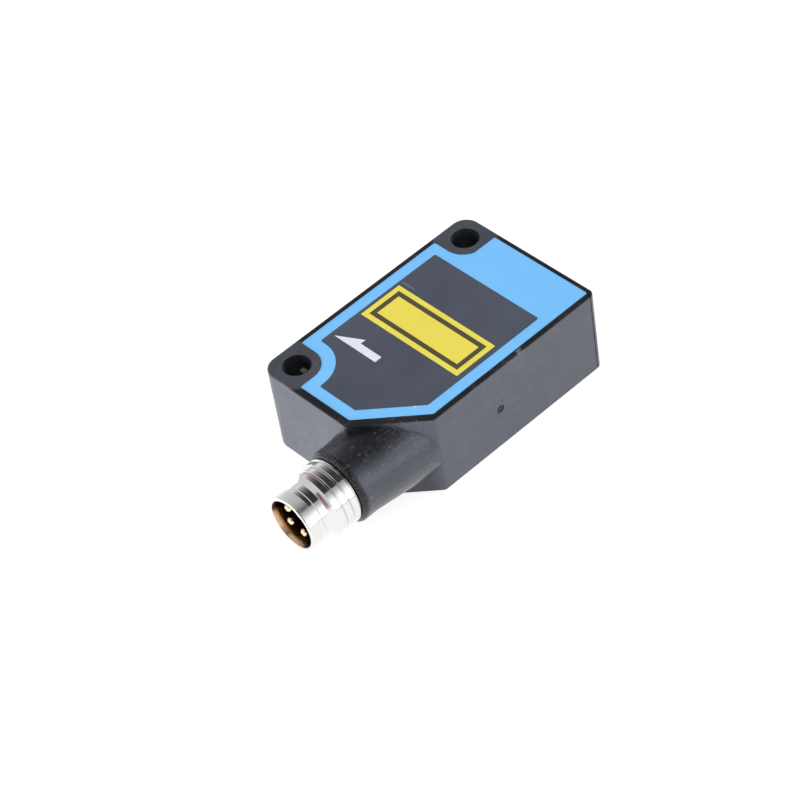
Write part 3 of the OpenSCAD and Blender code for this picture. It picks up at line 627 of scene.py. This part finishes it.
# Finish of every CAD node
def plastic_finishes():
    """Finishes of the moulded parts and seals, with their nodes."""
    return {
        housing_plastic(): ["housing", "end_cover"],
        moulded_plastic("seal_rubber", RUBBER_BLACK, 0.75): [
            "cover_seal", "window_seal", "adjuster_ring", "selector_ring", "shell_ring",
        ],
        moulded_plastic("inner_plastic", INNER_BLACK, 0.6): [
            "optics_holder", "sensitivity_trimmer", "mode_switch",
        ],
        moulded_plastic("adjuster_plastic", ADJUSTER_GREY, 0.4): ["sensitivity_adjuster", "mode_selector"],
        moulded_plastic("insert_plastic", INSERT_BROWN, 0.45): ["connector_insert"],
        clear_plastic("window_plastic", WINDOW_RED, 0.03): ["front_window"],
        clear_plastic("clear_lens", LENS_CLEAR, 0.03, 1.0): ["emitter_lens", "receiver_lens"],
        clear_plastic("green_lamp", LAMP_GREEN, 0.1, 0.6): ["power_led"],
        clear_plastic("yellow_lamp", LAMP_YELLOW, 0.1, 0.6): ["output_led"],
        clear_plastic("lamp_lens", LAMP_CLEAR, 0.12, 0.85): ["indicator_lens"],
    }


def label_finishes():
    """Inks of the label, with their nodes."""
    return {
        printed_foil("blue_ink", LABEL_BLUE, mark=blue_scuff): ["label_foil"],
        printed_foil("dark_ink", LABEL_DARK, uneven=0.35, mark=fine_scratch): ["label_dark_field"],
        printed_foil("yellow_ink", LABEL_YELLOW): ["label_yellow_field"],
        printed_foil("frame_ink", LABEL_FRAME): ["label_frame_line"],
        printed_foil("white_ink", LABEL_WHITE): ["label_arrow"],
    }


def board_finishes():
    """Finishes of the boards, their parts and the metal parts, with their nodes."""
    return {
        moulded_plastic("board_lacquer", BOARD_GREEN, 0.3): ["receiver_board", "main_board"],
        moulded_plastic("capacitor_ceramic", CERAMIC_TAN, 0.55): ["capacitors"],
        moulded_plastic("chip_resin", INNER_BLACK, 0.5): [
            "receiver_diode", "controller_chip", "driver_chip", "voltage_regulator",
            "output_transistors", "resistors",
        ],
        plated_metal("turned_brass", BRASS, 0.25): ["laser_sleeve"],
        plated_metal("tinned_steel", TIN, 0.3): ["receiver_shield", "solder_joints"],
        plated_metal("plated_gold", GOLD, 0.12): ["laser_diode"],
        plated_metal("contact_gold", GOLD, 0.12, mark=tip_dots): CONTACTS,
    }


def dress_nodes():
    """Puts its finish on every CAD node."""
    for finishes in (plastic_finishes(), label_finishes(), board_finishes()):
        for finish, names in finishes.items():
            for name in names:
                mesh = nodes[name].data
                mesh.materials.clear()
                mesh.materials.append(finish.material)


dress_nodes()

# Plug shell, with its thread cut; depths run from the rim towards the body
GROOVE_DEPTH = 0.2 * MM
GROOVE_REACH = 0.17
GROOVE_START = 5.37 * MM
GROOVE_FADE = (3.35 * MM, 3.75 * MM)
FRONT_BAND = (0.1 * MM, 1.4 * MM)
RELIEF_START = 6.35 * MM
LIP_DEPTH = 0.05 * MM
ROW_SLACK = 0.01 * MM
SHELL_COLUMNS = 288
SHARP_TURN = math.radians(20)
SHELL_OUTSIDE = [
    # depth, radius and number of steps to the next point, in millimetres
    (0.0, 3.28, 1), (0.03, 3.35, 1), (0.1, 3.39, 8), (1.4, 3.4, 1), (1.42, 3.38, 3), (1.8, 3.38, 1),
    (1.83, 3.24, 1), (1.85, 3.24, 2), (2.0, 3.38, 6), (2.8, 3.38, 40), (3.35, 3.95, 160), (6.27, 3.95, 4),
    (6.35, 3.86, 1), (6.36, 3.3, 1), (6.45, 3.3, 1), (6.46, 3.38, 1),
]
SHELL_INSIDE = [
    (11.6, 3.38, 1), (11.6, 2.42, 1), (6.2, 2.42, 1), (6.2, 2.94, 1), (4.6, 2.94, 1), (4.58, 2.8, 12),
    (0.7, 2.8, 4), (0.55, 2.808, 2), (0.42, 2.835, 2), (0.3, 2.87, 3), (0.12, 2.925, 1), (0.06, 2.94, 1),
    (0.0, 3.0, 1),
]


def closed_grid(name, points, finishes, row_finish, sharp_row):
    """Mesh of a grid of points that closes on itself both ways.

    row_finish gives the slot of each row of faces, and sharp_row the rings that shade as edges.
    """
    rows, columns = points.shape[:2]
    row, column = np.meshgrid(np.arange(rows), np.arange(columns), indexing="ij")
    next_row, next_column = (row + 1) % rows, (column + 1) % columns
    faces = np.stack(
        [row * columns + column, row * columns + next_column,
         next_row * columns + next_column, next_row * columns + column], -1
    ).reshape(-1, 4)
    mesh = bpy.data.meshes.new(name)
    mesh.from_pydata(points.reshape(-1, 3), [], faces)
    for finish in finishes:
        mesh.materials.append(finish.material)
    mesh.polygons.foreach_set("material_index", np.repeat(row_finish, columns).astype(np.int32))
    mesh.shade_smooth()
    ends = np.empty(2 * len(mesh.edges), dtype=np.int32)
    mesh.edges.foreach_get("vertices", ends)
    end_rows = ends.reshape(-1, 2) // columns
    sharp = (end_rows[:, 0] == end_rows[:, 1]) & sharp_row[end_rows[:, 0]]
    mesh.edges.foreach_set("use_edge_sharp", sharp)
    mesh.update()
    piece = bpy.data.objects.new(name, mesh)
    bpy.context.scene.collection.objects.link(piece)
    return piece


def shell_rows():
    """Rows of the shell's closed outline: depth, radius, whether outside, and whether a sharp edge.

    The outline is linear between its points, and a point is sharp where it bends past SHARP_TURN.
    """
    outline = np.array(SHELL_OUTSIDE + SHELL_INSIDE)
    following = np.roll(outline, -1, axis=0)
    spans = [
        start[:2] + (end[:2] - start[:2]) * (np.arange(int(start[2])) / start[2])[:, None]
        for start, end in zip(outline, following)
    ]
    depth, radius = (np.concatenate(spans) * MM).T
    heading = np.arctan2(*(following - outline)[:, 1::-1].T)
    bend = np.abs((heading - np.roll(heading, 1) + np.pi) % (2 * np.pi) - np.pi)
    sharp = np.zeros(len(depth), dtype=bool)
    sharp[np.cumsum([0] + [len(span) for span in spans[:-1]])] = bend > SHARP_TURN
    outside = np.arange(len(depth)) < sum(point[2] for point in SHELL_OUTSIDE)
    return depth, radius, outside, sharp


def groove_floor(phase):
    """1 on the groove's floor at a whole phase, falling by a cosine to 0 where GROOVE_REACH ends."""
    reach = np.abs((phase + 0.5) % 1 - 0.5)
    return 0.5 + 0.5 * np.cos(np.pi * np.clip(reach / GROOVE_REACH, 0, 1))


def threaded_shell():
    """Body of revolution round the plug's axis, with a right-hand helical groove.

    In the threaded stretch the radius is the crest radius less the groove's depth times
    groove_floor, where the phase is depth over pitch plus angle over a full turn; the groove
    runs out in front over GROOVE_FADE.
    """
    depth, radius, outside, sharp = shell_rows()
    turn = -np.linspace(0, 2 * np.pi, SHELL_COLUMNS, endpoint=False)
    phase = (depth[:, None] - GROOVE_START) / THREAD_PITCH + turn[None, :] / (2 * np.pi)
    run_out = np.clip((depth - GROOVE_FADE[0]) / (GROOVE_FADE[1] - GROOVE_FADE[0]), 0, 1)
    threaded = outside & (depth < RELIEF_START)
    groove = GROOVE_DEPTH * groove_floor(phase) * (run_out * threaded)[:, None]
    reach = radius[:, None] - groove
    points = np.stack(
        [PLUG_X + reach * np.cos(turn), TIP_Y + np.broadcast_to(depth[:, None], reach.shape),
         PLUG_Z + reach * np.sin(turn)], -1
    )
    front_band = outside & (depth > FRONT_BAND[0] - ROW_SLACK) & (depth < FRONT_BAND[1] - ROW_SLACK)
    in_relief = outside & (depth > RELIEF_START - ROW_SLACK)
    in_bore = ~outside & (depth > LIP_DEPTH)
    # The relief behind the thread gets black plastic as painted shade.
    finishes = [
        nickel_plate(), brushed_nickel(), moulded_plastic("relief_shade", POLISHED_BLACK, 0.5), bore_plate(),
    ]
    row_finish = 1 * front_band + 2 * in_relief + 3 * in_bore
    piece = closed_grid("threaded_shell", points, finishes, row_finish, sharp)
    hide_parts("connector_shell")
    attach(piece, "sensor_body")


threaded_shell()

# Studio
FLOOR_HALF = 2.0
FLOOR_GAP = 0.02 * MM
CEILING_HEIGHT = 0.62
CEILING = [
    (-1.7, 0.2), (-1.7, 1.3), (-0.5, 0.7), (-0.05, 0.6), (0.33, 0.95), (0.33, -0.35), (-0.05, 0.05),
    (-0.5, 0.1),
]
BOX_FRONT = [(-0.06, 0.75, 0.8), (0.52, 1.04, 0.03), (1.1, -0.12, 0.03), (0.52, -0.41, 0.8)]
DARK_FLAG = [(0.1, -0.5, 0.27), (1.0, -0.5, 0.27), (1.0, -0.5, 1.2), (0.1, -0.5, 1.2)]
STAND_EDGE = [(0.56, -0.8, 0.002), (0.56, 1.4, 0.002), (0.56, 1.4, 0.024), (0.56, -0.8, 0.024)]
FLOOR_PALE = 0.8
FLOOR_SHADED = 0.3
FLOOR_GLOW = 0.82
FLOOR_GLOSS_GLOW = 0.95
FILL = 0.4


def flat_card(name, corners):
    """Flat card with the given corners, in metres."""
    mesh = bpy.data.meshes.new(name)
    mesh.from_pydata(corners, [], [tuple(range(len(corners)))])
    card = bpy.data.objects.new(name, mesh)
    bpy.context.scene.collection.objects.link(card)
    return card


def level_corners(low, high, level):
    """Corners of a level rectangle from low to high, each an x and a y."""
    (left, front), (right, back) = low, high
    return [(left, front, level), (right, front, level), (right, back, level), (left, back, level)]


def white_floor():
    """Floor that shows white, and keeps a soft shadow under the object.

    Light meets a plain pale floor. The camera, glass and gloss see part of that floor and a
    steady glow, so that it shows white and is darker only where the object shades it.
    """
    corners = level_corners((-FLOOR_HALF, -FLOOR_HALF), (FLOOR_HALF, FLOOR_HALF), BASE_Z - FLOOR_GAP)
    card = flat_card("floor", corners)
    material = bpy.data.materials.new("white_floor")
    material.use_nodes = True
    tree = material.node_tree
    tree.nodes.clear()
    path = tree.nodes.new("ShaderNodeLightPath")

    def joined(kind, sources):
        node = tree.nodes.new("ShaderNode" + kind)
        for socket, source in zip(node.inputs, sources):
            tree.links.new(source, socket)
        return node.outputs[0]

    def plain(kind, level):
        shader = tree.nodes.new("ShaderNode" + kind)
        shader.inputs["Color"].default_value = (level, level, level, 1)
        return shader.outputs[0]

    seen, mirrored = (
        joined("AddShader", (plain("BsdfDiffuse", FLOOR_SHADED), plain("Emission", glow)))
        for glow in (FLOOR_GLOW, FLOOR_GLOSS_GLOW)
    )
    floor = plain("BsdfDiffuse", FLOOR_PALE)
    for ray, shader in (("Is Camera Ray", seen), ("Is Transmission Ray", seen), ("Is Glossy Ray", mirrored)):
        floor = joined("MixShader", (path.outputs[ray], floor, shader))
    output = tree.nodes.new("ShaderNodeOutputMaterial")
    tree.links.new(floor, output.inputs["Surface"])
    card.data.materials.append(material)


def glow_card(name, corners, dim, bright, low=0.0, high=1.0, along="X"):
    """Card that only gloss can see, as a studio's ceiling or stand shows in metal.

    It glows from dim at low to bright at high, both in metres along one axis.
    """
    f = Finish(name)
    colour = f.mix(f.between(f.axis(along), low, high), (dim,) * 3, (bright,) * 3)
    emission = f.node("Emission", {"Color": colour, "Strength": 1.0})
    f.tree.links.new(emission.outputs[0], f.tree.nodes["Material Output"].inputs["Surface"])
    card = flat_card(name, corners)
    card.data.materials.append(f.material)
    for ray in ("camera", "diffuse", "transmission", "volume_scatter", "shadow"):
        setattr(card, "visible_" + ray, False)


def dim_ceiling():
    """Dark ceiling over the object: a patch that narrows and gets paler towards the left."""
    corners = [(x, y, CEILING_HEIGHT) for x, y in CEILING]
    glow_card("ceiling", corners, 0.045, 1.0, low=0.0, high=-1.6)


def left_paper():
    """White paper on the floor before the connector end, brighter than the floor in gloss."""
    corners = level_corners((-0.8, -0.8), (10.5 * MM, END_Y - 0.1 * MM), BASE_Z - FLOOR_GAP / 2)
    glow_card("left_paper", corners, 1.5, 1.5)


def dark_flag():
    """Dark card between the camera and the plug's front, which darkens the stub's rounded end."""
    glow_card("dark_flag", DARK_FLAG, 0.05, 0.05)


def stand_edge():
    """Thin dark edge where the right-hand soft box meets the table."""
    glow_card("stand_edge", STAND_EDGE, 0.25, 0.25)


def box_front():
    """Cloth front of the right-hand soft box, as gloss shows it: dimmer towards its upper edge."""
    glow_card("box_front", BOX_FRONT, 0.5, 2.0, low=0.62, high=0.2, along="Z")


def soft_box(name, place, aim, size, power):
    """Large soft lamp at place that points at aim; size is its width and height. Gloss doesn't show it."""
    data = bpy.data.lights.new(name, "AREA")
    data.shape = "RECTANGLE"
    data.size, data.size_y = size
    data.energy = power
    lamp = bpy.data.objects.new(name, data)
    bpy.context.scene.collection.objects.link(lamp)
    lamp.location = place
    lamp.rotation_mode = "QUATERNION"
    lamp.rotation_quaternion = (Vector(aim) - Vector(place)).to_track_quat("-Z", "Y")
    lamp.visible_glossy = False


def seen_directly(tree):
    """1 for rays from the camera, from gloss and through glass."""
    path = tree.nodes.new("ShaderNodeLightPath")
    share = path.outputs["Is Camera Ray"]
    for name in ("Is Glossy Ray", "Is Transmission Ray"):
        either = tree.nodes.new("ShaderNodeMath")
        either.operation = "MAXIMUM"
        tree.links.new(share, either.inputs[0])
        tree.links.new(path.outputs[name], either.inputs[1])
        share = either.outputs[0]
    return share


def set_world():
    """World: white where it is seen directly, and a dim even fill on the object."""
    world = bpy.data.worlds.new("studio")
    bpy.context.scene.world = world
    world.use_nodes = True
    tree = world.node_tree
    fill = tree.nodes["Background"]
    fill.inputs["Color"].default_value = (1, 1, 1, 1)
    fill.inputs["Strength"].default_value = FILL
    white = tree.nodes.new("ShaderNodeBackground")
    white.inputs["Strength"].default_value = 1.0
    choice = tree.nodes.new("ShaderNodeMixShader")
    for socket, source in zip(choice.inputs, (seen_directly(tree), fill.outputs[0], white.outputs[0])):
        tree.links.new(source, socket)
    tree.links.new(choice.outputs[0], tree.nodes["World Output"].inputs["Surface"])


set_world()
white_floor()
dim_ceiling()
left_paper()
dark_flag()
stand_edge()
box_front()
soft_box("right_soft_box", place=(0.49, 0.3, 0.46), aim=(0.01, 0.06, 0.005), size=(1.3, 0.9), power=5.5)
soft_box("front_fill", place=(-0.3, -0.55, 0.16), aim=(0.01, 0, 0.005), size=(0.7, 0.4), power=5.5)

bpy.context.scene.view_settings.view_transform = "Standard"
